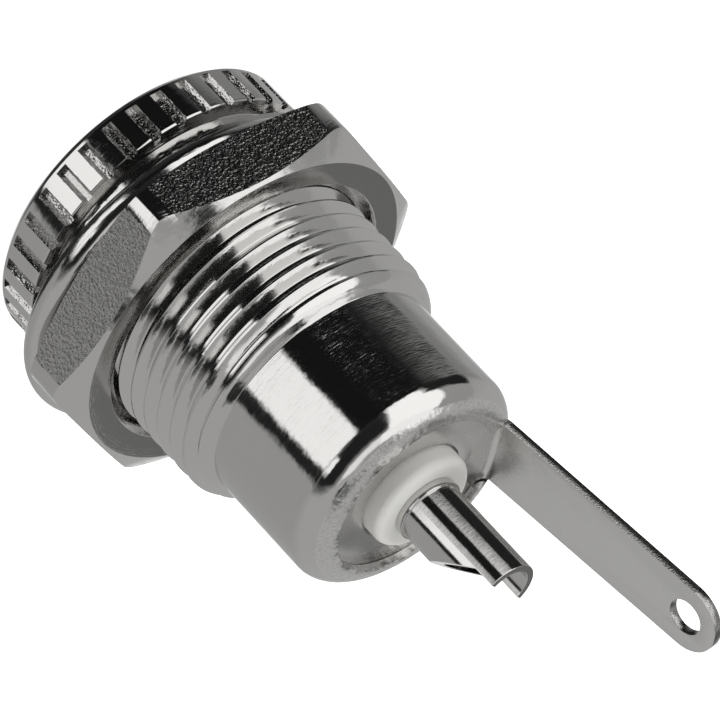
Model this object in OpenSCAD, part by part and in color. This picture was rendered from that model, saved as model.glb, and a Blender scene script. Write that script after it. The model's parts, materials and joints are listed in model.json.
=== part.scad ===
// Panel-mount DC power jack with a fluted metal head, a threaded body and a
// flanged hex nut. The front face stands on z = 0, +Z runs to the terminals
// and the ground lug stands on the +X side. Millimetres.

/* [Plug and socket] */
// Outer diameter of the plug's sleeve
plug_d = 5.5; // [4.8:0.1:5.8]
// Radial clearance between the plug's sleeve and the socket
plug_clearance = 0.1; // [0.05:0.01:0.2]
// Length of the narrow front part of the socket
guide_len = 3.2; // [2.4:0.1:4]
// Depth of the socket from the front face to its floor
socket_depth = 9.6; // [9:0.1:11.5]
// Chamfer at the mouth of the socket
mouth_chamfer = 0.4; // [0.1:0.05:0.7]

/* [Barrel] */
// Diameter of the fluted head
head_d = 12.5; // [12.2:0.1:13.5]
// Length of the head
head_len = 2; // [1.5:0.1:3]
// Chamfer on the front rim of the head
head_chamfer = 0.3; // [0.1:0.05:0.5]
// Chamfer on the rear edge of the head
head_rear_chamfer = 0.06; // [0.02:0.01:0.1]
// Step from the neck down to the thread, in radius
neck_step = 0.12; // [0.06:0.01:0.2]
// Length of the plain neck behind the head
neck_len = 0.6; // [0.3:0.1:0.9]
// Outer diameter of the thread
thread_d = 10.86; // [10.6:0.02:11.2]
// Length of the threaded part
thread_len = 6.85; // [6:0.05:9]
// Distance between two turns of the thread
thread_pitch = 0.75; // [0.75:0.05:1.5]
// Depth of the thread's groove below its crests
thread_depth = 0.42; // [0.2:0.01:0.44]
// Width of the floor of the thread's groove
thread_root_w = 0.18; // [0.1:0.01:0.2]
// Length of the cone behind the thread
cone_len = 1.3; // [0.8:0.1:2]
// Diameter of the smooth rear body
body_d = 9.4; // [9.2:0.1:10]
// Length of the smooth rear body
body_len = 4.32; // [3.5:0.02:6]
// Axial length of the rolled shoulder
shoulder_len = 1.1; // [0.8:0.05:1.4]
// Radial width of the rolled shoulder
shoulder_w = 1.41; // [1:0.01:1.6]
// Diameter of the bore that holds the spring and the insulator
bore_d = 7.2; // [6.8:0.1:7.6]
// Wall of the thin rear rim that is rolled over the terminal
rim_wall = 0.4; // [0.25:0.05:0.5]
// Diameter of the opening that the rolled lip leaves
lip_d = 6.9; // [6.2:0.1:7.2]

/* [Flutes] */
// Number of flutes around the head
flute_count = 36; // [24:1:40]
// Width of a flute at the land
flute_w = 0.42; // [0.3:0.02:0.56]
// Width of the floor of a flute
flute_floor_w = 0.16; // [0.06:0.02:0.24]
// Depth of a flute
flute_depth = 0.22; // [0.1:0.02:0.3]
// Plain rim between the front chamfer and the flutes
flute_start = 0.12; // [0.05:0.01:0.3]
// Angle of the first flute from the lug
flute_phase = 6.9; // [0:0.1:10]

/* [Nut] */
// Distance between opposite flats
nut_af = 14; // [13.8:0.1:15]
// Diameter over the corners, which are turned round
nut_corner_d = 15.92; // [15.8:0.01:16]
// Length of the hexagonal part
hex_len = 1.93; // [1.5:0.01:3]
// Outer diameter of the round flange
flange_d = 14.1; // [13.2:0.1:14.4]
// Length of the round flange
flange_len = 1.31; // [1:0.01:2]
// Axial length of the flange's rounded front edge
flange_round_len = 0.55; // [0.2:0.05:0.8]
// Radial width of the flange's rounded front edge
flange_round_w = 0.75; // [0.2:0.05:0.8]
// Diameter of the rear face inside the corner chamfer
nut_face_d = 13.96; // [13.2:0.02:14.2]
// Axial length of the corner chamfer
nut_chamfer_len = 0.68; // [0.4:0.02:0.9]
// Countersink of the bore at both ends
nut_countersink = 0.4; // [0.2:0.05:0.6]
// Radial clearance of the nut's bore on the thread
nut_clearance = 0.05; // [0.02:0.01:0.09]
// Gap between the head and the nut, for the panel
panel_gap = 1.05; // [0.95:0.05:2.5]
// Angle of the nut's first corner from the lug
nut_turn = 5.3; // [0:0.1:60]

/* [Ground terminal] */
// Thickness of the sheet
sheet_t = 0.35; // [0.25:0.05:0.5]
// Depth of the plate's rear face below the end of the barrel
plate_sink = 0.33; // [0.2:0.01:0.5]
// Width of the lug at its root
lug_w = 2.9; // [2.2:0.1:3.2]
// Width of the lug at its tip
lug_tip_w = 2.76; // [2:0.02:3]
// Length of the lug from the fold to the tip
lug_len = 10.8; // [8:0.1:14]
// Distance from the axis to the lug's inner face at the fold
lug_offset = 3.75; // [3.5:0.05:3.85]
// Outward lean of the lug in degrees
lug_lean = 6.3; // [0:0.1:12]
// Inner radius of the fold
fold_r = 0.25; // [0.1:0.01:0.3]
// Diameter of the hole in the lug
lug_hole_d = 1.4; // [1:0.1:1.8]
// Width of the relief slits beside the fold
relief_w = 0.25; // [0.15:0.05:0.3]
// Clearance of the plate and the lug inside the rim
terminal_clearance = 0.08; // [0.04:0.02:0.1]

/* [Insulator] */
// Diameter of the boss that stands through the plate
boss_d = 4.08; // [3.6:0.02:4.3]
// Height of the boss above the plate
boss_h = 0.81; // [0.5:0.01:1.2]
// Radius of the boss's rounded edge
boss_round = 0.35; // [0.1:0.05:0.45]
// Thickness of the flange under the plate
collar_flange_len = 0.9; // [0.6:0.05:1.4]
// Radial clearance between the moulding and the metal round it
insulator_clearance = 0.03; // [0.01:0.01:0.05]
// Radial clearance between the boss and the plate's hole
boss_clearance = 0.11; // [0.05:0.01:0.2]

/* [Centre contact] */
// Diameter of the contact pin in the socket
contact_d = 2; // [1.6:0.1:2.2]
// Distance of the contact's tip behind the front face
contact_recess = 0.9; // [0.5:0.1:2]
// Radius of the rounded tip
contact_tip_r = 0.6; // [0.2:0.1:0.75]
// Outer diameter of the tail
tail_d = 2.44; // [2.4:0.02:2.7]
// Length of the tail from the boss to its end
tail_len = 4.5; // [3.6:0.1:7]
// Diameter of the collar that sits on the boss
tail_collar_d = 2.62; // [2.56:0.02:3]
// Height of the collar
tail_collar_h = 0.32; // [0.2:0.02:0.5]
// Wall of the solder cup
cup_wall = 0.3; // [0.2:0.02:0.4]
// Depth of the solder cup
cup_depth = 3.3; // [3:0.1:3.5]
// Length of the cut that opens the cup
cup_cut_len = 2.84; // [2.4:0.02:2.94]
// Length of the part that is cut back to the axis
cup_half_len = 0.94; // [0.5:0.02:1.4]
// Direction that the cup opens to, as an angle from the lug
cup_turn = 225; // [0:1:360]

/* [Sleeve spring] */
// Thickness of the spring strip
spring_t = 0.2; // [0.12:0.02:0.3]
// Length of the split band behind the fingers
spring_band_len = 1.3; // [0.8:0.1:1.6]
// Angle of the split in the band
spring_split = 24; // [10:1:30]
// Number of fingers
finger_count = 4; // [3:1:5]
// Angle that one finger covers
finger_angle = 38; // [20:1:44]
// How far the fingers press into the plug's sleeve, in radius
finger_press = 0.07; // [0.02:0.01:0.12]
// Distance of the fingers' tips behind the guide
finger_tip_gap = 0.4; // [0.2:0.05:0.6]

/* [Hidden] */
$fn = 96;
// Overlap that cutting bodies reach past what they cut
cut = 1;
// Points on a rounded edge that a polygon draws
arc_steps = 12;

z_neck_end = head_len + neck_len;
z_thread_end = z_neck_end + thread_len;
z_body = z_thread_end + cone_len;
z_shoulder = z_body + body_len;
z_rear = z_shoulder + shoulder_len;
z_plate_rear = z_rear - plate_sink;
z_plate_front = z_plate_rear - sheet_t;
z_rim_seat = z_plate_front - collar_flange_len;
z_boss_end = z_plate_rear + boss_h;
z_tail_end = z_boss_end + tail_len;
z_nut = head_len + panel_gap;

socket_r = plug_d / 2 + plug_clearance;
thread_r = thread_d / 2;
body_r = body_d / 2;
rim_r = body_r - rim_wall;
shoulder_r = body_r - shoulder_w;
nut_bore_r = thread_r + nut_clearance;
boss_hole_r = boss_d / 2 + boss_clearance;
plate_r = rim_r - terminal_clearance;

// Points of an elliptic arc round [x, y], from angle a0 to angle a1
function arc(x, y, rx, ry, a0, a1) =
    [for (i = [0:arc_steps]) let (a = a0 + (a1 - a0) * i / arc_steps) [x + rx * cos(a), y + ry * sin(a)]];

// Whole turns on the threaded part, and half the width of a 60 degree groove at the crests
thread_turns = floor(thread_len / thread_pitch);
groove_half = thread_root_w / 2 + thread_depth * tan(30);

// Section of the thread, one ring groove to a turn, with the plain rest shared between its ends
function thread_grooves() =
    [for (i = [0:thread_turns - 1], side = [-1, 1], crest = side < 0 ? [true, false] : [false, true])
        let (z = z_neck_end + (thread_len + (2 * i + 1 - thread_turns) * thread_pitch) / 2)
            crest ? [thread_r, z + side * groove_half] : [thread_r - thread_depth, z + side * thread_root_w / 2]];

// Angle of the shoulder's arc at the edge of the lip
lip_arc = acos(max(lip_d / 2 - shoulder_r, 0) / shoulder_w);

// Half section of the turned barrel, with its bores
module barrel_section() {
    polygon(concat(
        [[socket_r + mouth_chamfer, 0], [head_d / 2 - head_chamfer, 0], [head_d / 2, head_chamfer],
         [head_d / 2, head_len - head_rear_chamfer], [head_d / 2 - head_rear_chamfer, head_len],
         [thread_r + neck_step, head_len], [thread_r + neck_step, z_neck_end],
         [thread_r, z_neck_end]],
        thread_grooves(),
        [[thread_r, z_thread_end], [body_r, z_body]],
        arc(shoulder_r, z_shoulder, shoulder_w, shoulder_len, 0, lip_arc),
        [[lip_d / 2, z_plate_rear], [rim_r, z_plate_rear], [rim_r, z_rim_seat], [bore_d / 2, z_rim_seat],
         [bore_d / 2, guide_len], [socket_r, guide_len], [socket_r, mouth_chamfer]]));
}

// One flute's cutter, standing on the head's rim at angle 0
module flute() {
    floor_r = head_d / 2 - flute_depth;
    flare = (flute_w - flute_floor_w) / flute_depth;
    z_start = head_chamfer + flute_start;
    translate([floor_r, 0, z_start])
        linear_extrude(head_len + cut - z_start)
            polygon([[0, -flute_floor_w / 2], [flute_depth + cut, -flute_floor_w / 2 - flare * (flute_depth + cut) / 2],
                     [flute_depth + cut, flute_floor_w / 2 + flare * (flute_depth + cut) / 2], [0, flute_floor_w / 2]]);
}

// Turned barrel: head, neck, thread, cone, smooth body and the lip rolled over the terminal
module barrel() {
    notch_x = lug_offset + sheet_t / cos(lug_lean) + terminal_clearance;
    color("silver")
        difference() {
            rotate_extrude() barrel_section();
            for (i = [0:flute_count - 1]) rotate(flute_phase + i * 360 / flute_count) flute();
            translate([0, -lug_w / 2 - terminal_clearance, z_plate_rear])
                cube([notch_x + plate_sink * tan(lug_lean), lug_w + 2 * terminal_clearance, plate_sink + cut]);
        }
}

// Hexagonal nut with its round flange to the front
module hex_nut() {
    nut_len = flange_len + hex_len;
    corner_r = nut_corner_d / 2;
    color("silver")
        translate([0, 0, z_nut])
            rotate(nut_turn)
                difference() {
                    union() {
                        rotate_extrude()
                            polygon(concat([[0, 0]],
                                arc(flange_d / 2 - flange_round_w, flange_round_len,
                                    flange_round_w, flange_round_len, -90, 0),
                                [[flange_d / 2, flange_len], [0, flange_len]]));
                        intersection() {
                            translate([0, 0, flange_len])
                                cylinder(h = hex_len, r = nut_af / 2 / cos(30), $fn = 6);
                            rotate_extrude()
                                polygon([[0, flange_len], [corner_r, flange_len],
                                         [corner_r, nut_len - nut_chamfer_len], [nut_face_d / 2, nut_len], [0, nut_len]]);
                        }
                    }
                    translate([0, 0, -cut]) cylinder(h = nut_len + 2 * cut, r = nut_bore_r);
                    translate([0, 0, -cut])
                        cylinder(h = cut + nut_countersink, r1 = nut_bore_r + nut_countersink + cut, r2 = nut_bore_r);
                    translate([0, 0, nut_len - nut_countersink])
                        cylinder(h = cut + nut_countersink, r1 = nut_bore_r, r2 = nut_bore_r + nut_countersink + cut);
                }
}

// Side view of the folded strip: root in the plate, fold and lug; x is radial, y is along the axis
module lug_side() {
    fold_x = lug_offset - fold_r * tan((90 - lug_lean) / 2);
    outer_r = fold_r + sheet_t;
    tip = [lug_offset + lug_len * sin(lug_lean), lug_len * cos(lug_lean)];
    polygon(concat(
        [[boss_hole_r, 0]],
        arc(fold_x, fold_r, fold_r, fold_r, -90, -lug_lean),
        [tip, tip + sheet_t * [cos(lug_lean), -sin(lug_lean)]],
        arc(fold_x, fold_r, outer_r, outer_r, -lug_lean, -90),
        [[boss_hole_r, -sheet_t]]));
}

// Outline of the lug in its own plane, from well below the fold to the round tip
module lug_outline() {
    tip_r = lug_tip_w / 2;
    tip_centre = lug_len - tip_r;
    difference() {
        union() {
            translate([-lug_len, -lug_w]) square([lug_len + fold_r, 2 * lug_w]);
            polygon([[0, -lug_w / 2], [tip_centre, -tip_r], [tip_centre, tip_r], [0, lug_w / 2]]);
            translate([tip_centre, 0]) circle(r = tip_r);
        }
        translate([tip_centre, 0]) circle(d = lug_hole_d);
    }
}

// Ground terminal: a punched disc with a lug folded up beside its edge
module ground_terminal() {
    fold_x = lug_offset - fold_r * tan((90 - lug_lean) / 2);
    color("lightgray")
        translate([0, 0, z_plate_rear]) {
            translate([0, 0, -sheet_t])
                linear_extrude(sheet_t)
                    difference() {
                        circle(r = plate_r);
                        circle(r = boss_hole_r);
                        translate([fold_x, -lug_w / 2 - relief_w]) square([plate_r, lug_w + 2 * relief_w]);
                        for (side = [-1, 1])
                            translate([fold_x - relief_w, side * (lug_w + relief_w) / 2 - relief_w / 2])
                                square([plate_r, relief_w]);
                    }
            intersection() {
                translate([0, lug_w / 2, 0])
                    rotate([90, 0, 0])
                        linear_extrude(lug_w) lug_side();
                translate([lug_offset, 0, 0])
                    rotate([0, lug_lean - 90, 0])
                        translate([0, 0, -lug_len / 2])
                            linear_extrude(lug_len) lug_outline();
            }
        }
}

// One-piece insulator: core in the bore, flange under the plate, boss through it
module insulator() {
    core_r = bore_d / 2 - insulator_clearance;
    flange_r = rim_r - insulator_clearance;
    boss_r = boss_d / 2;
    hole_r = tail_d / 2 + insulator_clearance;
    color("whitesmoke")
        rotate_extrude()
            polygon(concat(
                [[hole_r, socket_depth], [core_r, socket_depth], [core_r, z_rim_seat], [flange_r, z_rim_seat],
                 [flange_r, z_plate_front], [boss_r, z_plate_front]],
                arc(boss_r - boss_round, z_boss_end - boss_round, boss_round, boss_round, 0, 90),
                [[hole_r, z_boss_end]]));
}

// Side view of the cutter that opens the solder cup; the cut side is +X
module cup_cut() {
    half_z = z_tail_end - cup_half_len;
    start_z = z_tail_end - cup_cut_len;
    tail_r = tail_d / 2;
    ramp = (half_z - start_z) / tail_r;
    polygon([[0, half_z], [0, z_tail_end + cut], [tail_r + cut, z_tail_end + cut],
             [tail_r + cut, start_z - cut * ramp]]);
}

// Turned centre contact: pin in the socket, shoulder at its floor, collar on the boss, solder cup behind
module centre_contact() {
    contact_r = contact_d / 2;
    tail_r = tail_d / 2;
    cup_r = tail_r - cup_wall;
    color("gainsboro")
        difference() {
            rotate_extrude()
                polygon(concat(
                    [[0, contact_recess]],
                    arc(contact_r - contact_tip_r, contact_recess + contact_tip_r, contact_tip_r, contact_tip_r, -90, 0),
                    [[contact_r, socket_depth], [tail_r, socket_depth], [tail_r, z_boss_end], [tail_collar_d / 2, z_boss_end],
                     [tail_collar_d / 2, z_boss_end + tail_collar_h], [tail_r, z_boss_end + tail_collar_h],
                     [tail_r, z_tail_end], [0, z_tail_end]]));
            translate([0, 0, z_tail_end - cup_depth]) cylinder(h = cup_depth + cut, r = cup_r);
            rotate(cup_turn)
                rotate([90, 0, 0])
                    translate([0, 0, -tail_d])
                        linear_extrude(2 * tail_d) cup_cut();
        }
}

// Half section of one bowed finger, from the band forward to the tip
module finger_section() {
    outer_r = bore_d / 2 - insulator_clearance;
    press_r = plug_d / 2 - finger_press;
    z_band = socket_depth - spring_band_len;
    z_tip = guide_len + finger_tip_gap;
    z_press = (z_band + z_tip) / 2;
    tip_r = (press_r + outer_r - spring_t) / 2;
    // Bow of the strip's inner face at height z, a smooth wave from the band to the contact line
    function inner_r(z) = z > z_press
        ? press_r + (outer_r - spring_t - press_r) * (1 - cos(180 * (z - z_press) / (z_band - z_press))) / 2
        : press_r + (tip_r - press_r) * (1 - cos(180 * (z_press - z) / (z_press - z_tip))) / 2;
    steps = [for (i = [0:arc_steps]) z_band + (z_tip - z_band) * i / arc_steps];
    polygon(concat(
        [for (z = steps) [inner_r(z), z]],
        [for (i = [arc_steps:-1:0]) [inner_r(steps[i]) + spring_t, steps[i]]]));
}

// Sleeve spring: a split band with fingers that bow in onto the plug's sleeve
module sleeve_spring() {
    outer_r = bore_d / 2 - insulator_clearance;
    finger_pitch = 360 / finger_count;
    color("goldenrod") {
        rotate(finger_pitch / 2 + spring_split / 2)
            rotate_extrude(angle = 360 - spring_split)
                translate([outer_r - spring_t, socket_depth - spring_band_len]) square([spring_t, spring_band_len]);
        for (i = [0:finger_count - 1])
            rotate(i * finger_pitch - finger_angle / 2)
                rotate_extrude(angle = finger_angle) finger_section();
    }
}

barrel();
hex_nut();
ground_terminal();
insulator();
centre_contact();
sleeve_spring();
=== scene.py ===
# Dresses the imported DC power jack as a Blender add-on: the turned barrel with its
# flutes and its cut thread, the forged nut, the folded terminal, the nylon insulator,
# the turned contact with its solder cup, and the light tent round them.
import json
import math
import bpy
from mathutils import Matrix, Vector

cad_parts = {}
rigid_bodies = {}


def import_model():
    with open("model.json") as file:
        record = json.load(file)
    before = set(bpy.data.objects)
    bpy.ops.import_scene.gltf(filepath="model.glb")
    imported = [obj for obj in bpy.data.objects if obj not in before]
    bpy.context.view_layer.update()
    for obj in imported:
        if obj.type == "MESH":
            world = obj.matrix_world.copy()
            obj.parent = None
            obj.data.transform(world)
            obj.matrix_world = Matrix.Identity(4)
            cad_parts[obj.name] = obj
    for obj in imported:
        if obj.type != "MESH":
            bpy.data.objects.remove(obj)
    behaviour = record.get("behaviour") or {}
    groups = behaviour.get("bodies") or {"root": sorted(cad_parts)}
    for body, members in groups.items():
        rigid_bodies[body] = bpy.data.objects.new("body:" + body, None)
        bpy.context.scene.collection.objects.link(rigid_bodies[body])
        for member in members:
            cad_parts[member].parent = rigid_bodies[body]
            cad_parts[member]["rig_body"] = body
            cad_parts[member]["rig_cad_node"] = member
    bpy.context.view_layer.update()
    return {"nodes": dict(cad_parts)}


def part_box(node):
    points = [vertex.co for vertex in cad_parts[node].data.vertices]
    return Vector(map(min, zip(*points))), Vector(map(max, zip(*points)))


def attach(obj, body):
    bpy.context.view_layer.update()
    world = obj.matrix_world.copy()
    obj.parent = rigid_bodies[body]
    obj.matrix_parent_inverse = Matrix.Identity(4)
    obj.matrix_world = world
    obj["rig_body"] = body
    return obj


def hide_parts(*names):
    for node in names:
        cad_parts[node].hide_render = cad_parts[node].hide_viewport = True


bl_info = {
    "name": "Panel Power Jack",
    "version": (1, 0, 0),
    "blender": (4, 5, 0),
    "location": "View3D > Sidebar > Power Jack",
    "description": "Dresses the panel power jack and sets up its light tent",
    "category": "Object",
}

import bpy
from mathutils import Matrix, Vector

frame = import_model()

MM = 0.001
FLUTES = 36
# Spin steps round the axis: eight to each flute
TURN_STEPS = 8 * FLUTES
# Fewer do for the nut and for the small pieces inside
NUT_STEPS = 240
SMALL_STEPS = 128
# Closest that two points of a mesh may be before they are one, in metres
WELD = 1e-6

# Places along the axis in millimetres, from the CAD boxes where a node ends there
BARREL_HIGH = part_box("barrel")[1] / MM
NUT_LOW, NUT_HIGH = (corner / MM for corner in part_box("hex_nut"))
CONTACT_LOW, CONTACT_HIGH = (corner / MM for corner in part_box("centre_contact"))
HEAD_R = BARREL_HIGH.x
REAR_Z = BARREL_HIGH.z
HEAD_LEN = 2.0
NECK_R = 5.55
NECK_END = 2.6
THREAD_R = 5.43
THREAD_END = 9.45
BODY_R = 4.7
BODY_START = 10.75
SHOULDER_Z = 15.07
SHOULDER_R = 3.29
PLATE_REAR = 15.84
SHEET_T = 0.35
RIM_R = 4.3
RIM_SEAT = 14.59
BORE_R = 3.6
LIP_R = 3.45
SOCKET_R = 2.85
GUIDE_LEN = 3.2
SOCKET_FLOOR = 9.6
BOSS_END = 16.65
TAIL_R = 1.22
# Clearance between the insulator and what it sits in or holds
INSULATOR_GAP = 0.03
# How far the flutes, the nut and the cup's cut are turned about the axis, in degrees from the lug
FLUTE_TURN = 6.9
NUT_TURN = 5.3
CUP_TURN = 225
# Direction that the nut's flange leans and sits to, as an angle from the lug
LEAN_TO = math.radians(212)


class JackSizes(bpy.types.PropertyGroup):
    """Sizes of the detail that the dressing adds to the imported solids."""

    thread_pitch: bpy.props.FloatProperty(
        name="Thread pitch", description="Distance between two turns of the barrel's thread",
        default=0.75 * MM, min=0.5 * MM, max=1.0 * MM, precision=6, unit="LENGTH")
    thread_depth: bpy.props.FloatProperty(
        name="Thread depth", description="Depth of the thread's groove below its crests",
        default=0.42 * MM, min=0.2 * MM, max=0.6 * MM, precision=6, unit="LENGTH")
    edge_round: bpy.props.FloatProperty(
        name="Edge rounding", description="Radius that plating and tumbling leave on turned edges",
        default=0.05 * MM, min=0.01 * MM, max=0.1 * MM, precision=6, unit="LENGTH")
    sheet_round: bpy.props.FloatProperty(
        name="Sheet edge rounding", description="Rollover that the punch leaves on the terminal's edges",
        default=0.04 * MM, min=0.01 * MM, max=0.08 * MM, precision=6, unit="LENGTH")
    cast_grain: bpy.props.FloatProperty(
        name="Flat roughness", description="Height of the grain on the nut's as-forged flats",
        default=0.010 * MM, min=0.0, max=0.03 * MM, precision=6, unit="LENGTH")
    flute_grain: bpy.props.FloatProperty(
        name="Flute roughness", description="Height of the grain on the walls of the flutes",
        default=0.016 * MM, min=0.0, max=0.05 * MM, precision=6, unit="LENGTH")
    lip_grain: bpy.props.FloatProperty(
        name="Lip roughness", description="Height of the marks that rolling leaves on the lip",
        default=0.012 * MM, min=0.0, max=0.03 * MM, precision=6, unit="LENGTH")
    flange_lean: bpy.props.FloatProperty(
        name="Flange lean", description="How far the nut's flange leans against its hexagon",
        default=math.radians(2.4), min=0.0, max=math.radians(3), precision=4, unit="ROTATION")
    flange_aside: bpy.props.FloatProperty(
        name="Flange offset", description="How far the nut's flange sits to one side of its hexagon",
        default=0.36 * MM, min=0.0, max=0.4 * MM, precision=6, unit="LENGTH")


class JackFinish(bpy.types.PropertyGroup):
    """Colours of the finishes, as sRGB hex values."""

    nickel: bpy.props.StringProperty(
        name="Nickel plate", description="Colour of the bright nickel on the turned brass",
        default="#CFCECC")
    sheet_nickel: bpy.props.StringProperty(
        name="Sheet nickel", description="Colour of the nickel on the punched terminal",
        default="#DEDDDB")
    nylon: bpy.props.StringProperty(
        name="Nylon", description="Colour of the natural nylon insulator", default="#E9E8E4")
    spring: bpy.props.StringProperty(
        name="Spring bronze", description="Colour of the plated sleeve spring", default="#B9A27A")
    floor: bpy.props.StringProperty(
        name="Floor", description="Colour of the floor sweep", default="#F4F4F2")


def clear_selection():
    if bpy.context.object and bpy.context.object.mode != "OBJECT":
        bpy.ops.object.mode_set(mode="OBJECT")
    bpy.ops.object.select_all(action="DESELECT")


def work_on(obj):
    clear_selection()
    obj.select_set(True)
    bpy.context.view_layer.objects.active = obj


def chain(name, outline, closed=True):
    """A line in the XZ plane along an outline in millimetres. Leaves edit mode on, with all selected."""
    clear_selection()
    bpy.ops.mesh.primitive_plane_add(size=MM)
    obj = bpy.context.object
    obj.name = obj.data.name = name
    bpy.ops.object.mode_set(mode="EDIT")
    bpy.ops.mesh.select_mode(type="VERT")
    bpy.ops.mesh.merge(type="CENTER")
    bpy.ops.transform.translate(value=(outline[0][0] * MM, 0, outline[0][1] * MM))
    for here, there in zip(outline, outline[1:] + (outline[:1] if closed else [])):
        step = ((there[0] - here[0]) * MM, 0, (there[1] - here[1]) * MM)
        bpy.ops.mesh.extrude_region_move(TRANSFORM_OT_translate={"value": step})
    bpy.ops.mesh.select_all(action="SELECT")
    bpy.ops.mesh.remove_doubles(threshold=WELD)
    return obj


def stand_up(obj):
    """Turns a prism that was drawn in radius and width so that it runs along the jack's axis."""
    obj.data.transform(Matrix.Rotation(math.pi / 2, 4, "X"))


def turn_about_axis(obj, degrees):
    """Turns a mesh about the jack's axis."""
    obj.data.transform(Matrix.Rotation(math.radians(degrees), 4, "Z"))


def turned(name, outline, steps=TURN_STEPS, closed=True):
    """A half section, in radius and height, spun about the jack's axis."""
    obj = chain(name, outline, closed)
    bpy.ops.mesh.spin(steps=steps, angle=math.tau, center=(0, 0, 0), axis=(0, 0, 1), use_auto_merge=True)
    bpy.ops.mesh.select_all(action="SELECT")
    bpy.ops.mesh.remove_doubles(threshold=WELD)
    bpy.ops.mesh.normals_make_consistent(inside=False)
    bpy.ops.object.mode_set(mode="OBJECT")
    return obj


def prism(name, outline, start, length):
    """An outline in the XZ plane, filled and extruded along Y."""
    obj = chain(name, outline)
    bpy.ops.transform.translate(value=(0, start * MM, 0))
    bpy.ops.mesh.edge_face_add()
    bpy.ops.mesh.extrude_region_move(TRANSFORM_OT_translate={"value": (0, length * MM, 0)})
    bpy.ops.mesh.select_all(action="SELECT")
    bpy.ops.mesh.normals_make_consistent(inside=False)
    bpy.ops.object.mode_set(mode="OBJECT")
    return obj


def eased(outline, radius, closed=True):
    """The outline with each sharp corner replaced by a short curve of about that radius."""
    points = [Vector(p) for p in outline]
    made = []
    for i, corner in enumerate(points):
        if not closed and i in (0, len(points) - 1):
            made.append(tuple(corner))
            continue
        back, on = points[i - 1] - corner, points[(i + 1) % len(points)] - corner
        turn = math.pi - back.angle(on)
        if turn < math.radians(20):
            made.append(tuple(corner))
            continue
        reach = min(radius * math.tan(turn / 2), 0.4 * back.length, 0.4 * on.length)
        first, last = corner + back.normalized() * reach, corner + on.normalized() * reach
        for t in (0.0, 0.3, 0.7, 1.0):
            made.append(tuple(first * (1 - t) ** 2 + corner * 2 * t * (1 - t) + last * t * t))
    return made


def arc(x, z, rx, rz, start, end, steps=8):
    """Points on an ellipse round (x, z), between two angles in degrees."""
    angles = [math.radians(start + (end - start) * i / steps) for i in range(steps + 1)]
    return [(x + rx * math.cos(a), z + rz * math.sin(a)) for a in angles]


def combine(obj, tool, operation="DIFFERENCE"):
    """Cuts tool from obj, or joins them, and carries the tool's finish over to the new faces."""
    work_on(obj)
    modifier = obj.modifiers.new("Combine", "BOOLEAN")
    modifier.operation = operation
    modifier.object = tool
    modifier.solver = "EXACT"
    modifier.material_mode = "TRANSFER"
    bpy.ops.object.modifier_apply(modifier=modifier.name)
    bpy.data.objects.remove(tool)
    if not obj.data.polygons:
        raise RuntimeError(f"{obj.name} is empty after a boolean")


def joined(objects):
    """One object of several."""
    clear_selection()
    for obj in objects:
        obj.select_set(True)
    bpy.context.view_layer.objects.active = objects[0]
    bpy.ops.object.join()
    return objects[0]


def own_copy(obj):
    """A copy with its own mesh."""
    twin = obj.copy()
    twin.data = obj.data.copy()
    bpy.context.scene.collection.objects.link(twin)
    return twin


def soften(obj, width, angle, segments=2):
    """A small bevel along every edge that is sharper than an angle in degrees."""
    work_on(obj)
    modifier = obj.modifiers.new("Soften", "BEVEL")
    modifier.limit_method = "ANGLE"
    modifier.angle_limit = math.radians(angle)
    modifier.width = width
    modifier.segments = segments
    bpy.ops.object.modifier_apply(modifier=modifier.name)


def select_where(obj, kind, test):
    """Selects the points, edges or faces for which test(element) holds. Leaves edit mode on."""
    work_on(obj)
    bpy.ops.object.mode_set(mode="EDIT")
    bpy.ops.mesh.select_mode(type=kind)
    bpy.ops.mesh.select_all(action="DESELECT")
    bpy.ops.object.mode_set(mode="OBJECT")
    elements = {"VERT": obj.data.vertices, "EDGE": obj.data.edges, "FACE": obj.data.polygons}[kind]
    for element in elements:
        element.select = test(element)
    bpy.ops.object.mode_set(mode="EDIT")


def from_axis(point):
    """Radius and height of a point, in millimetres."""
    return math.hypot(point.x, point.y) / MM, point.z / MM


def roughen(seed, height):
    """Shifts the selected points at random by up to a height in metres, and leaves edit mode."""
    bpy.ops.transform.vertex_random(offset=height, uniform=0, normal=0, seed=seed)
    bpy.ops.object.mode_set(mode="OBJECT")


def finish_faces(obj, material, test):
    """Gives the faces for which test(face) holds another finish."""
    obj.data.materials.append(material)
    for face in obj.data.polygons:
        if test(face):
            face.material_index = len(obj.data.materials) - 1


def merged_copy(node, name):
    """A copy of a CAD node with its triangles merged into whole faces."""
    source = frame["nodes"][node]
    obj = source.copy()
    obj.data = source.data.copy()
    obj.name = obj.data.name = name
    obj.parent = None
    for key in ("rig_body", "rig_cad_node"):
        del obj[key]
    bpy.context.scene.collection.objects.link(obj)
    work_on(obj)
    bpy.ops.mesh.customdata_custom_splitnormals_clear()
    bpy.ops.object.mode_set(mode="EDIT")
    bpy.ops.mesh.select_all(action="SELECT")
    bpy.ops.mesh.remove_doubles(threshold=WELD)
    bpy.ops.mesh.dissolve_limited(angle_limit=math.radians(1))
    bpy.ops.object.mode_set(mode="OBJECT")
    return obj


def dress(obj, body, slot, *nodes, angle=32):
    """Shades a finished piece, rides it on its body and lets it stand for its CAD nodes."""
    work_on(obj)
    bpy.ops.object.shade_smooth_by_angle(angle=math.radians(angle))
    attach(obj, body)
    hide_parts(*nodes)


def linear(hex_colour):
    """An sRGB hex value as linear colour with alpha."""
    parts = [int(hex_colour[i:i + 2], 16) / 255 for i in (1, 3, 5)]
    return [p / 12.92 if p <= 0.04045 else ((p + 0.055) / 1.055) ** 2.4 for p in parts] + [1.0]


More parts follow.
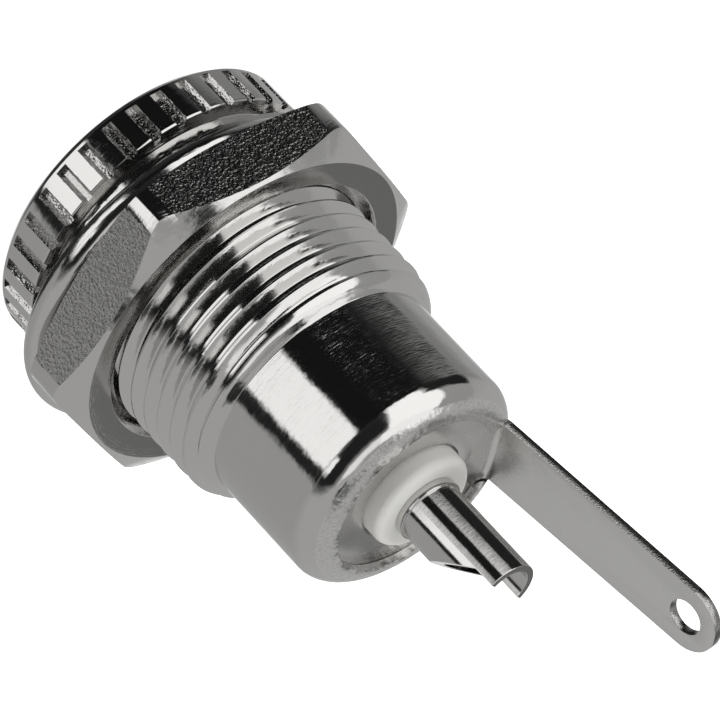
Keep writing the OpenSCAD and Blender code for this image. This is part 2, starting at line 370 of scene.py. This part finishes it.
def add(tree, kind, settings=None, **inputs):
    """Adds a node, sets its properties, and sets or links its inputs by name or number."""
    node = tree.nodes.new("ShaderNode" + kind)
    for key, value in (settings or {}).items():
        setattr(node, key, value)
    for key, value in inputs.items():
        socket = node.inputs[int(key[1:]) if key[0] == "i" and key[1:].isdigit() else key.replace("_", " ")]
        if isinstance(value, bpy.types.NodeSocket):
            tree.links.new(value, socket)
        else:
            socket.default_value = value
    return node


def new_material(name):
    """An empty material with its shader, and the object coordinates in millimetres."""
    material = bpy.data.materials.new(name)
    material.use_nodes = True
    tree = material.node_tree
    tree.nodes.clear()
    shader = add(tree, "BsdfPrincipled")
    add(tree, "OutputMaterial", None, Surface=shader.outputs[0])
    place = add(tree, "TexCoord").outputs["Object"]
    in_mm = add(tree, "VectorMath", {"operation": "SCALE"}, Vector=place, Scale=1 / MM).outputs[0]
    return material, tree, shader, in_mm


def round_the_axis(tree, place, along, across):
    """Coordinates that stretch a pattern round the axis, into cells of that length and width in mm."""
    parts = add(tree, "SeparateXYZ", None, Vector=place).outputs
    flat = add(tree, "CombineXYZ", None, X=parts[0], Y=parts[1]).outputs[0]
    radius = add(tree, "VectorMath", {"operation": "LENGTH"}, Vector=flat).outputs["Value"]
    unit = add(tree, "VectorMath", {"operation": "NORMALIZE"}, Vector=flat).outputs[0]
    swept = add(tree, "VectorMath", {"operation": "SCALE"}, Vector=unit, Scale=BODY_R / along).outputs[0]
    height = add(tree, "Math", {"operation": "ADD"}, i0=parts[2], i1=radius).outputs[0]
    fine = add(tree, "Math", {"operation": "MULTIPLY"}, i0=height, i1=1 / across).outputs[0]
    lift = add(tree, "CombineXYZ", None, Z=fine).outputs[0]
    return add(tree, "VectorMath", {"operation": "ADD"}, i0=swept, i1=lift).outputs[0]


def span(tree, value, low, high, out_low, out_high):
    """Maps a value's range onto another."""
    node = add(tree, "MapRange", {"clamp": True}, Value=value)
    for key, number in zip(("From Min", "From Max", "To Min", "To Max"), (low, high, out_low, out_high)):
        node.inputs[key].default_value = number
    return node.outputs[0]


def bright_nickel(name, colour, marks, ripple, rough_low, rough_high):
    """Bright nickel on turned brass: a mirror, broken by the tool's fine rings and by soft ripples.

    The marks' and the ripples' heights are in millimetres.
    """
    material, tree, shader, place = new_material(name)
    shader.inputs["Metallic"].default_value = 1.0
    shader.inputs["Base Color"].default_value = linear(colour)
    # Turning marks 0.04 mm apart, drawn twice as coarse so that they show
    ring_place = round_the_axis(tree, place, 2.5, 0.08)
    rings = add(tree, "TexNoise", None, Vector=ring_place, Scale=1.0, Detail=2.0)
    # Short nicks and polishing scratches, 0.25 mm long
    nick_place = round_the_axis(tree, place, 0.25, 0.07)
    nicks = add(tree, "TexNoise", None, Vector=nick_place, Scale=1.0, Detail=2.0)
    # Ripples under the plating, about 1 mm across
    waves = add(tree, "TexNoise", None, Vector=place, Scale=0.9, Detail=2.0)
    rough = span(tree, nicks.outputs[0], 0.35, 0.7, rough_low, rough_high)
    tree.links.new(rough, shader.inputs["Roughness"])
    wave_bump = add(tree, "Bump", None, Height=waves.outputs[0], Strength=1.0, Distance=ripple * MM)
    nick_bump = add(tree, "Bump", None, Height=nicks.outputs[0], Strength=1.0, Distance=marks * 1.3 * MM,
                    Normal=wave_bump.outputs[0])
    ring_bump = add(tree, "Bump", None, Height=rings.outputs[0], Strength=1.0, Distance=marks * MM,
                    Normal=nick_bump.outputs[0])
    tree.links.new(ring_bump.outputs[0], shader.inputs["Normal"])
    return material


def rough_nickel(name, colour, grain, height, rough, pit_shade):
    """Nickel over a forged, torn, rolled or sheared surface: bright specks, with painted shade in the
    hollows between them.

    The grain's width and height are in millimetres, and the last argument is how bright the painted shade in
    the hollows is, against the nickel's own colour.
    """
    material, tree, shader, place = new_material(name)
    shader.inputs["Metallic"].default_value = 1.0
    grains = add(tree, "TexVoronoi", {"feature": "SMOOTH_F1"}, Vector=place, Scale=1 / grain,
                 Smoothness=0.6)
    fine_pits = add(tree, "TexNoise", None, Vector=place, Scale=2.5 / grain, Detail=3.0)
    # Painted shade: the colour darkens where the fine noise is low, which is also where its bump dips
    shade = add(tree, "ValToRGB", None, Fac=fine_pits.outputs[0])
    pit_shade_stop, bright = shade.color_ramp.elements
    pit_shade_stop.position, bright.position = 0.3, 0.65
    pit_shade_stop.color = [c * pit_shade for c in linear(colour)[:3]] + [1.0]
    bright.color = linear(colour)
    tree.links.new(shade.outputs[0], shader.inputs["Base Color"])
    shader.inputs["Roughness"].default_value = rough
    first = add(tree, "Bump", None, Height=grains.outputs[0], Strength=1.0, Distance=height * MM)
    second = add(tree, "Bump", None, Height=fine_pits.outputs[0], Strength=1.0, Distance=height * 0.5 * MM,
                 Normal=first.outputs[0])
    tree.links.new(second.outputs[0], shader.inputs["Normal"])
    return material


def brushed_nickel(name, colour):
    """Nickel on rolled sheet: a soft grey mirror with fine lines along the strip."""
    material, tree, shader, place = new_material(name)
    shader.inputs["Metallic"].default_value = 1.0
    shader.inputs["Base Color"].default_value = linear(colour)
    # Rolling lines 0.01 mm wide, drawn four times as coarse so that they show
    stretched = add(tree, "VectorMath", {"operation": "MULTIPLY"}, i0=place, i1=(0.8, 22.0, 0.8)).outputs[0]
    lines = add(tree, "TexNoise", None, Vector=stretched, Scale=1.0, Detail=4.0)
    stains = add(tree, "TexNoise", None, Vector=place, Scale=1.3, Detail=3.0)
    rough = span(tree, stains.outputs[0], 0.3, 0.7, 0.24, 0.3)
    tree.links.new(rough, shader.inputs["Roughness"])
    bump = add(tree, "Bump", None, Height=lines.outputs[0], Strength=1.0, Distance=0.0015 * MM)
    tree.links.new(bump.outputs[0], shader.inputs["Normal"])
    return material


def natural_nylon(name, colour):
    """Moulded natural nylon: milky white, with a soft sheen and a faint flow pattern."""
    material, tree, shader, place = new_material(name)
    shader.inputs["Base Color"].default_value = linear(colour)
    shader.inputs["IOR"].default_value = 1.53
    shader.inputs["Subsurface Weight"].default_value = 0.25
    shader.inputs["Subsurface Radius"].default_value = (1.0, 0.9, 0.8)
    shader.inputs["Subsurface Scale"].default_value = 0.4 * MM
    flow = add(tree, "TexNoise", None, Vector=place, Scale=3.0, Detail=4.0)
    tree.links.new(span(tree, flow.outputs[0], 0.3, 0.7, 0.38, 0.52), shader.inputs["Roughness"])
    bump = add(tree, "Bump", None, Height=flow.outputs[0], Strength=1.0, Distance=0.006 * MM)
    tree.links.new(bump.outputs[0], shader.inputs["Normal"])
    return material


def thread_groove(pitch, depth):
    """A 60 degree groove swept up the thread, from behind the neck out through the cone."""
    root_half, steps_to_turn = 0.09, 144
    crest_half = root_half + depth * math.tan(math.radians(30))
    start = NECK_END + 0.5
    root_r, clear_r = THREAD_R - depth, THREAD_R + 0.4
    section = [(root_r + 0.05, start - root_half - 0.03), (root_r, start - root_half * 0.5),
               (root_r, start + root_half * 0.5), (root_r + 0.05, start + root_half + 0.03),
               (THREAD_R - 0.04, start + crest_half - 0.02), (THREAD_R, start + crest_half + 0.01),
               (clear_r, start + crest_half + 0.02), (clear_r, start - crest_half - 0.02),
               (THREAD_R, start - crest_half - 0.01), (THREAD_R - 0.04, start - crest_half + 0.02)]
    groove = chain("thread_groove", section)
    bpy.ops.object.mode_set(mode="OBJECT")
    work_on(groove)
    sweep = groove.modifiers.new("Sweep", "SCREW")
    sweep.axis = "Z"
    sweep.angle = math.tau
    sweep.screw_offset = pitch * MM
    sweep.iterations = math.ceil((BODY_START - start) / pitch)
    sweep.steps = sweep.render_steps = steps_to_turn
    sweep.use_merge_vertices = False
    bpy.ops.object.modifier_apply(modifier=sweep.name)
    bpy.ops.object.mode_set(mode="EDIT")
    bpy.ops.mesh.select_all(action="SELECT")
    bpy.ops.mesh.fill_holes(sides=0)
    bpy.ops.mesh.select_all(action="SELECT")
    bpy.ops.mesh.normals_make_consistent(inside=False)
    bpy.ops.object.mode_set(mode="OBJECT")
    return groove


class JACK_OT_barrel(bpy.types.Operator):
    """Turns the barrel, cuts its thread and its flutes, and rolls its lip over the terminal."""

    bl_idname = "jack.barrel"
    bl_label = "Barrel"

    def execute(self, context):
        sizes, finish = context.scene.jack_sizes, context.scene.jack_finish
        mouth, front_chamfer, rear_chamfer, run_out = 0.4, 0.3, 0.06, 0.06
        outline = eased(
            [(SOCKET_R + mouth, 0), (HEAD_R - front_chamfer, 0), (HEAD_R, front_chamfer),
             (HEAD_R, HEAD_LEN - rear_chamfer), (HEAD_R - rear_chamfer, HEAD_LEN), (NECK_R, HEAD_LEN),
             (NECK_R, NECK_END), (THREAD_R, NECK_END), (THREAD_R, THREAD_END + 0.1)]
            + arc(BODY_R + run_out, THREAD_END + 0.15, THREAD_R - BODY_R - run_out, 1.05, 15, 80, 8)
            + [(BODY_R, BODY_START)]
            + arc(SHOULDER_R, SHOULDER_Z, BODY_R - SHOULDER_R, REAR_Z - SHOULDER_Z, 0, 83, 12)
            + [(LIP_R, REAR_Z - 0.02), (LIP_R, PLATE_REAR), (RIM_R, PLATE_REAR), (RIM_R, RIM_SEAT),
               (BORE_R, RIM_SEAT), (BORE_R, GUIDE_LEN), (SOCKET_R, GUIDE_LEN), (SOCKET_R, mouth)],
            sizes.edge_round / MM)
        barrel = turned("barrel_turned", outline)
        barrel.data.materials.append(
            bright_nickel("bright_nickel_turned", finish.nickel, 0.0022, 0.02, 0.05, 0.12))
        # The flute's cutter flares at the lands, which leaves them a rounded edge
        front, depth, floor_half, land_half = 0.42, 0.22, 0.10, 0.24
        flute_outline = [(HEAD_R - depth, -floor_half), (HEAD_R - 0.03, -land_half + 0.02),
                         (HEAD_R + 0.01, -land_half - 0.01), (HEAD_R + 0.3, -land_half - 0.04),
                         (HEAD_R + 0.3, land_half + 0.04), (HEAD_R + 0.01, land_half + 0.01),
                         (HEAD_R - 0.03, land_half - 0.02), (HEAD_R - depth, floor_half)]
        flute = prism("flute", flute_outline, front, HEAD_LEN)
        stand_up(flute)
        flute.data.materials.append(
            rough_nickel("nickel_over_torn_flutes", finish.nickel, 0.10, 0.014, 0.1, 0.7))
        flutes = []
        for i in range(FLUTES):
            torn = own_copy(flute)
            points = torn.data.vertices
            select_where(torn, "EDGE", lambda e: abs(points[e.vertices[0]].co.z
                                                     - points[e.vertices[1]].co.z) > MM)
            bpy.ops.mesh.subdivide(number_cuts=20)
            bpy.ops.mesh.select_all(action="SELECT")
            roughen(i + 1, sizes.flute_grain)
            turn_about_axis(torn, FLUTE_TURN + 360 / FLUTES * i)
            flutes.append(torn)
        bpy.data.objects.remove(flute)
        combine(barrel, joined(flutes))
        groove = thread_groove(sizes.thread_pitch / MM, sizes.thread_depth / MM)
        groove.data.materials.append(
            bright_nickel("bright_nickel_thread", finish.nickel, 0.0025, 0.008, 0.06, 0.14))
        combine(barrel, groove)
        # The notch in the lip that the lug passes through
        notch_x, notch_half, above = 4.219, 1.53, REAR_Z + 1
        notch = prism("lug_notch", [(0, PLATE_REAR), (notch_x, PLATE_REAR), (notch_x, above), (0, above)],
                      -notch_half, 2 * notch_half)
        combine(barrel, notch)
        lip_outer = 4.25

        def on_lip(point, inset, height):
            radius, z = from_axis(point)
            return LIP_R - 0.1 < radius < lip_outer - inset and z > PLATE_REAR + height

        select_where(barrel, "VERT", lambda v: on_lip(v.co, 0.1, 0.05))
        roughen(7, sizes.lip_grain)
        lip_finish = rough_nickel("nickel_over_rolled_lip", finish.sheet_nickel, 0.22, 0.010, 0.22, 0.8)
        finish_faces(barrel, lip_finish, lambda f: on_lip(f.center, 0, 0.01))
        dress(barrel, "jack", "barrel_metal", "barrel")
        return {"FINISHED"}


class JACK_OT_nut(bpy.types.Operator):
    """Forges the hex nut: a turned blank, six rough flats, and a round flange a little askew."""

    bl_idname = "jack.nut"
    bl_label = "Hex nut"

    def execute(self, context):
        sizes, finish = context.scene.jack_sizes, context.scene.jack_finish
        low, high = NUT_LOW.z, NUT_HIGH.z
        hex_front = low + 0.9
        flat, core_r, corner_r, face_r, bore_r, sink = 7.0, 6.5, 7.96, 6.84, 5.48, 0.4
        outline = [(bore_r + sink, low), (core_r, low), (core_r, hex_front), (flat, hex_front + 0.02),
                   (corner_r, hex_front + 0.36), (corner_r, high - 0.68), (face_r, high),
                   (bore_r + sink, high), (bore_r, high - sink), (bore_r, low + sink)]
        nut = turned("nut_forged", eased(outline, sizes.edge_round / MM), NUT_STEPS)
        nut.data.materials.append(
            bright_nickel("bright_nickel_nut", finish.nickel, 0.004, 0.02, 0.08, 0.16))
        # Each flat rolls over gently towards its corners, with a wide radius up to half of the
        # 30 degrees there, then more sharply with a tight one
        wide, tight, half_turn, slope = 2.4, 0.6, math.radians(15), math.tan(math.radians(30))
        turns = [math.radians(5 * i) for i in range(7)]
        across = [wide * (1 - math.cos(min(a, half_turn)))
                  + tight * (math.cos(half_turn) - math.cos(max(a, half_turn))) for a in turns]
        along = [wide * math.sin(min(a, half_turn))
                 + tight * (math.sin(max(a, half_turn)) - math.sin(half_turn)) for a in turns]
        start = (flat - across[-1]) * slope - along[-1]
        side = [(flat - x, start + t) for x, t in zip(across, along)]
        side += [(side[-1][0] - slope, side[-1][1] + 1), (flat + 3, side[-1][1] + 1)]
        plain = prism("flat_cutter", side + [(x, -t) for x, t in reversed(side)], hex_front - 0.1, 3)
        stand_up(plain)
        turn_to = [NUT_TURN + 30 + 60 * i for i in range(6)]
        for degrees in turn_to:
            cutter = own_copy(plain)
            turn_about_axis(cutter, degrees)
            combine(nut, cutter)
        bpy.data.objects.remove(plain)
        soften(nut, 0.1 * MM, 35, 3)
        # The grain of the forging, pressed about a hundredth of a millimetre into each flat
        cast = rough_nickel("nickel_over_forged_flats", finish.nickel, 0.11, 0.014, 0.13, 0.6)
        pressed, clear, half, length = flat - 0.012, flat + 2, 3.9, 2.8

        def at_flat(x):
            return abs(x - pressed * MM) < WELD

        for i, degrees in enumerate(turn_to):
            grain = prism("grain_cutter", [(pressed, -half), (pressed, half), (clear, half), (clear, -half)],
                          hex_front - 0.1, length)
            stand_up(grain)
            grain.data.materials.append(cast)
            points = grain.data.vertices
            select_where(grain, "EDGE", lambda e: all(at_flat(points[v].co.x) for v in e.vertices)
                         and abs(points[e.vertices[0]].co.y - points[e.vertices[1]].co.y) > half * MM)
            bpy.ops.mesh.subdivide(number_cuts=2)
            bpy.ops.object.mode_set(mode="OBJECT")
            select_where(grain, "FACE", lambda f: at_flat(f.center.x))
            bpy.ops.mesh.subdivide(number_cuts=31)
            bpy.ops.mesh.select_less()
            roughen(i + 1, sizes.cast_grain)
            turn_about_axis(grain, degrees)
            combine(nut, grain)
        # The round flange leans a little and sits to one side, so that its rim shows past the hexagon
        flange_r, rim = 7.05, 0.5
        ring = ([(bore_r + sink, low)] + arc(flange_r - rim, low + rim, rim, rim, -90, 90, 16)
                + [(bore_r + sink, low + 2 * rim)])
        flange = turned("flange", ring, NUT_STEPS)
        flange.data.materials.append(nut.data.materials[0])
        toward = Vector((math.cos(LEAN_TO), math.sin(LEAN_TO), 0))
        middle = Matrix.Translation((0, 0, (low + rim) * MM))
        lean = Matrix.Rotation(sizes.flange_lean, 4, Vector((-toward.y, toward.x, 0)))
        aside = Matrix.Translation(toward * sizes.flange_aside)
        flange.data.transform(aside @ middle @ lean @ middle.inverted())
        combine(nut, flange, "UNION")
        dress(nut, "nut", "nut_metal", "hex_nut", angle=40)
        return {"FINISHED"}


class JACK_OT_terminal(bpy.types.Operator):
    """Rounds the punched edges of the folded ground terminal."""

    bl_idname = "jack.terminal"
    bl_label = "Ground terminal"

    def execute(self, context):
        sizes, finish = context.scene.jack_sizes, context.scene.jack_finish
        terminal = merged_copy("ground_terminal", "terminal_folded")
        soften(terminal, sizes.sheet_round, 40)
        terminal.data.materials.clear()
        terminal.data.materials.append(brushed_nickel("rolled_nickel_sheet", finish.sheet_nickel))
        # The lug's sheared faces: all of it that doesn't face along the sheet's own normal, with painted
        # shade almost black in the hollows of their grain
        sheared = rough_nickel("nickel_over_sheared_edge", finish.nickel, 0.07, 0.004, 0.2, 0.05)
        finish_faces(terminal, sheared,
                     lambda f: f.center.z > (PLATE_REAR + 0.4) * MM and abs(f.normal.x) < 0.5)
        dress(terminal, "jack", "terminal_metal", "ground_terminal")
        return {"FINISHED"}


class JACK_OT_insulator(bpy.types.Operator):
    """Moulds the nylon insulator with its rounded boss."""

    bl_idname = "jack.insulator"
    bl_label = "Insulator"

    def execute(self, context):
        finish = context.scene.jack_finish
        boss_r, boss_round, plate_front = 2.04, 0.35, PLATE_REAR - SHEET_T
        hole_r, core_r, flange_r = TAIL_R + INSULATOR_GAP, BORE_R - INSULATOR_GAP, RIM_R - INSULATOR_GAP
        outline = ([(hole_r, SOCKET_FLOOR), (core_r, SOCKET_FLOOR), (core_r, RIM_SEAT),
                    (flange_r, RIM_SEAT), (flange_r, plate_front), (boss_r, plate_front)]
                   + arc(boss_r - boss_round, BOSS_END - boss_round, boss_round, boss_round, 0, 90)
                   + [(hole_r, BOSS_END)])
        insulator = turned("insulator_moulded", outline, SMALL_STEPS)
        insulator.data.materials.append(natural_nylon("natural_nylon", finish.nylon))
        dress(insulator, "jack", "nylon", "insulator")
        return {"FINISHED"}


class JACK_OT_contact(bpy.types.Operator):
    """Turns the centre contact and cuts its solder cup open."""

    bl_idname = "jack.contact"
    bl_label = "Centre contact"

    def execute(self, context):
        finish = context.scene.jack_finish
        tip, end = CONTACT_LOW.z, CONTACT_HIGH.z
        pin_r, tip_round, collar_r, collar_end = 1.0, 0.6, 1.31, BOSS_END + 0.32
        cup_r, cup_floor = TAIL_R - 0.3, end - 3.3
        outline = ([(0, tip)] + arc(pin_r - tip_round, tip + tip_round, tip_round, tip_round, -90, 0)
                   + [(pin_r, SOCKET_FLOOR), (TAIL_R, SOCKET_FLOOR), (TAIL_R, BOSS_END),
                      (collar_r, BOSS_END), (collar_r, collar_end), (TAIL_R, collar_end), (TAIL_R, end),
                      (cup_r, end), (cup_r, cup_floor), (0, cup_floor)])
        contact = turned("contact_turned", eased(outline, 0.04, closed=False), SMALL_STEPS, closed=False)
        contact.data.materials.append(
            bright_nickel("bright_nickel_contact", finish.nickel, 0.0006, 0.004, 0.06, 0.14))
        # The cup's wall is cut away on a slope: from start_z at its outside to half_z at the axis
        half_z, start_z, clear_r = end - 0.94, end - 2.84, TAIL_R + 1
        ramp = (half_z - start_z) / TAIL_R
        cutter = prism("cup_cutter",
                       [(0, half_z), (0, end + 1), (clear_r, end + 1), (clear_r, start_z - ramp)], -3, 6)
        turn_about_axis(cutter, CUP_TURN)
        combine(contact, cutter)
        soften(contact, 0.03 * MM, 50)
        dress(contact, "jack", "contact_metal", "centre_contact")
        return {"FINISHED"}


class JACK_OT_spring(bpy.types.Operator):
    """Rounds the edges of the sleeve spring in the socket."""

    bl_idname = "jack.spring"
    bl_label = "Sleeve spring"

    def execute(self, context):
        finish = context.scene.jack_finish
        spring = merged_copy("sleeve_spring", "spring_formed")
        soften(spring, 0.03 * MM, 50)
        spring.data.materials.clear()
        spring.data.materials.append(
            bright_nickel("plated_spring_bronze", finish.spring, 0.002, 0.01, 0.18, 0.3))
        dress(spring, "jack", "spring_metal", "sleeve_spring")
        return {"FINISHED"}


def pointing(azimuth, elevation):
    """A unit vector that points that way, from angles in degrees."""
    azimuth, elevation = math.radians(azimuth), math.radians(elevation)
    return Vector((math.cos(elevation) * math.cos(azimuth), math.cos(elevation) * math.sin(azimuth),
                   math.sin(elevation)))


def panel(tree, direction, below, azimuth, elevation, half_wide, half_high, soft, level, lean=0.0):
    """Lays one soft-edged panel of the light tent over what is below it. Angles are in degrees."""
    turn = add(tree, "VectorRotate", {"rotation_type": "Z_AXIS"}, Vector=direction,
               Angle=-math.radians(azimuth))
    parts = add(tree, "SeparateXYZ", None, Vector=turn.outputs[0]).outputs
    across = add(tree, "Math", {"operation": "ARCTAN2"}, i0=parts[1], i1=parts[0]).outputs[0]
    up = add(tree, "Math", {"operation": "ARCSINE"}, i0=parts[2]).outputs[0]
    height = add(tree, "Math", {"operation": "SUBTRACT"}, i0=up, i1=math.radians(elevation)).outputs[0]
    if lean:
        shift = add(tree, "Math", {"operation": "MULTIPLY"}, i0=height, i1=lean).outputs[0]
        across = add(tree, "Math", {"operation": "SUBTRACT"}, i0=across, i1=shift).outputs[0]
    masks = []
    for value, half in ((across, half_wide), (height, half_high)):
        away = add(tree, "Math", {"operation": "ABSOLUTE"}, i0=value).outputs[0]
        inner, outer = math.radians(half - soft / 2), math.radians(half + soft / 2)
        masks.append(span(tree, away, inner, outer, 1.0, 0.0))
    mask = add(tree, "Math", {"operation": "MULTIPLY"}, i0=masks[0], i1=masks[1]).outputs[0]
    return add(tree, "Mix", {"data_type": "FLOAT"}, i0=mask, i2=below, i3=level).outputs[0]


WHITE = (1, 1, 1, 1)
# The camera looks at the target from an azimuth and an elevation, and is rolled. Angles are in
# degrees, and lengths in millimetres.
CAMERA_AZIMUTH, CAMERA_ELEVATION, CAMERA_ROLL = 125.644, 26.724, -136.728
CAMERA_TARGET = Vector((4.0016, -2.4719, 8.6216))
CAMERA_DISTANCE, CAMERA_LENS = 213.545, 297.355
# Brightness of the light tent where no panel hangs
TENT_LEVEL = 0.42
# The light tent's panels: azimuth, elevation, half width, half height and softness in
# degrees, then the level and how far the panel leans. Later panels lie over earlier ones.
PANELS = [
    (270, 40, 95, 50, 30, 0.5),
    (312, 30, 14, 16, 6, 0.18),
    (306, -27, 14, 12, 16, 1.0),
    (22, -30, 28, 18, 14, 0.28),
    (86, -44, 44, 36, 26, 0.01),
    (98, -44, 36, 36, 6, 0.01),
    (0, -68, 180, 18, 8, 0.03),
    (147, -32, 22, 18, 4, 1.3),
    (175, -34, 7, 22, 5, 0.02),
    (140, 19, 44, 31, 14, 0.02),
    (140, 65, 44, 9, 6, 1.1),
    (61, 25, 36, 40, 4, 1.4),
    (24, 17, 18, 33, 4, 0.4, -0.556),
    (36, -8, 24, 15, 5, 0.02),
    (50, 66, 55, 11, 4, 1.3),
    (159, -2, 9, 10, 5, 1.3),
    (243, 66, 34, 5, 4, 0.03),
    (250, 79, 70, 7, 4, 0.5),
    (8, 80, 34, 3.5, 2, 0.02),
    (0, 90, 180, 4, 2, 0.5),
]


class JACK_OT_stage(bpy.types.Operator):
    """Lays the floor, hangs the light tent and sets up the camera."""

    bl_idname = "jack.stage"
    bl_label = "Stage"

    def execute(self, context):
        scene, finish = context.scene, context.scene.jack_finish
        scene.view_settings.view_transform = "Standard"
        clear_selection()
        bpy.ops.mesh.primitive_circle_add(vertices=96, radius=0.6, fill_type="NGON")
        floor = context.object
        floor.name = "floor_sweep"
        material = bpy.data.materials.new("white_floor_paper")
        material.use_nodes = True
        tree = material.node_tree
        tree.nodes.clear()
        seen = add(tree, "LightPath").outputs["Is Camera Ray"]
        # The camera sees the paper as white, with the jack's shadow faint on it
        paper = add(tree, "BsdfDiffuse", None, Color=linear(finish.floor))
        lift = add(tree, "Math", {"operation": "MULTIPLY"}, i0=seen, i1=0.85)
        glow = add(tree, "Emission", None, Color=WHITE, Strength=lift.outputs[0])
        both = add(tree, "AddShader", None, i0=paper.outputs[0], i1=glow.outputs[0])
        add(tree, "OutputMaterial", None, Surface=both.outputs[0])
        floor.data.materials.append(material)
        floor.visible_glossy = False

        world = bpy.data.worlds.new("light_tent")
        scene.world = world
        world.use_nodes = True
        tree = world.node_tree
        tree.nodes.clear()
        direction = add(tree, "TexCoord").outputs["Generated"]
        level = TENT_LEVEL
        for settings in PANELS:
            level = panel(tree, direction, level, *settings)
        seen = add(tree, "LightPath").outputs["Is Camera Ray"]
        shown = add(tree, "Mix", {"data_type": "FLOAT"}, i0=seen, i2=level, i3=1.0)
        sky = add(tree, "Background", None, Color=WHITE, Strength=shown.outputs[0])
        add(tree, "OutputWorld", None, Surface=sky.outputs[0])

        # A soft lamp over the rear lifts the nylon; the metal shows only the tent
        toward, distance = pointing(215, 55), 0.5
        bpy.ops.object.light_add(type="AREA", location=toward * distance)
        lamp = context.object
        lamp.name = "soft_lamp"
        lamp.rotation_mode = "QUATERNION"
        lamp.rotation_quaternion = toward.to_track_quat("Z", "Y")
        lamp.data.shape = "DISK"
        lamp.data.size = 0.4
        lamp.data.energy = 0.8
        lamp.visible_glossy = False

        bpy.ops.object.camera_add()
        camera = context.object
        camera.name = "camera"
        back, roll = pointing(CAMERA_AZIMUTH, CAMERA_ELEVATION), math.radians(CAMERA_ROLL)
        level_up = (Vector((0, 0, 1)) - back.z * back).normalized()
        level_right = level_up.cross(back)
        right = level_right * math.cos(roll) - level_up * math.sin(roll)
        up = level_right * math.sin(roll) + level_up * math.cos(roll)
        place = CAMERA_TARGET * MM + back * CAMERA_DISTANCE * MM
        turn = Matrix((right, up, back)).transposed()
        camera.matrix_world = Matrix.Translation(place) @ turn.to_4x4()
        camera.data.lens = CAMERA_LENS
        camera.data.clip_start = 0.01
        camera.data.clip_end = 10
        scene.camera = camera
        return {"FINISHED"}


class JACK_PT_panel(bpy.types.Panel):
    """Lists the jack's pieces and its stage."""

    bl_label = "Power Jack"
    bl_idname = "JACK_PT_panel"
    bl_space_type = "VIEW_3D"
    bl_region_type = "UI"
    bl_category = "Power Jack"

    def draw(self, context):
        column = self.layout.column()
        for owner in (context.scene.jack_sizes, context.scene.jack_finish):
            for name in owner.bl_rna.properties.keys():
                if name not in ("rna_type", "name"):
                    column.prop(owner, name)
        for operator in OPERATORS:
            column.operator(operator.bl_idname)


OPERATORS = (JACK_OT_barrel, JACK_OT_nut, JACK_OT_terminal, JACK_OT_insulator, JACK_OT_contact,
             JACK_OT_spring, JACK_OT_stage)
CLASSES = (JackSizes, JackFinish) + OPERATORS + (JACK_PT_panel,)


def register():
    for cls in CLASSES:
        bpy.utils.register_class(cls)
    bpy.types.Scene.jack_sizes = bpy.props.PointerProperty(type=JackSizes)
    bpy.types.Scene.jack_finish = bpy.props.PointerProperty(type=JackFinish)


def unregister():
    del bpy.types.Scene.jack_finish
    del bpy.types.Scene.jack_sizes
    for cls in reversed(CLASSES):
        bpy.utils.unregister_class(cls)


def main():
    register()
    for operator in OPERATORS:
        getattr(bpy.ops.jack, operator.bl_idname.split(".")[1])()
    clear_selection()


if __name__ == "__main__":
    main()
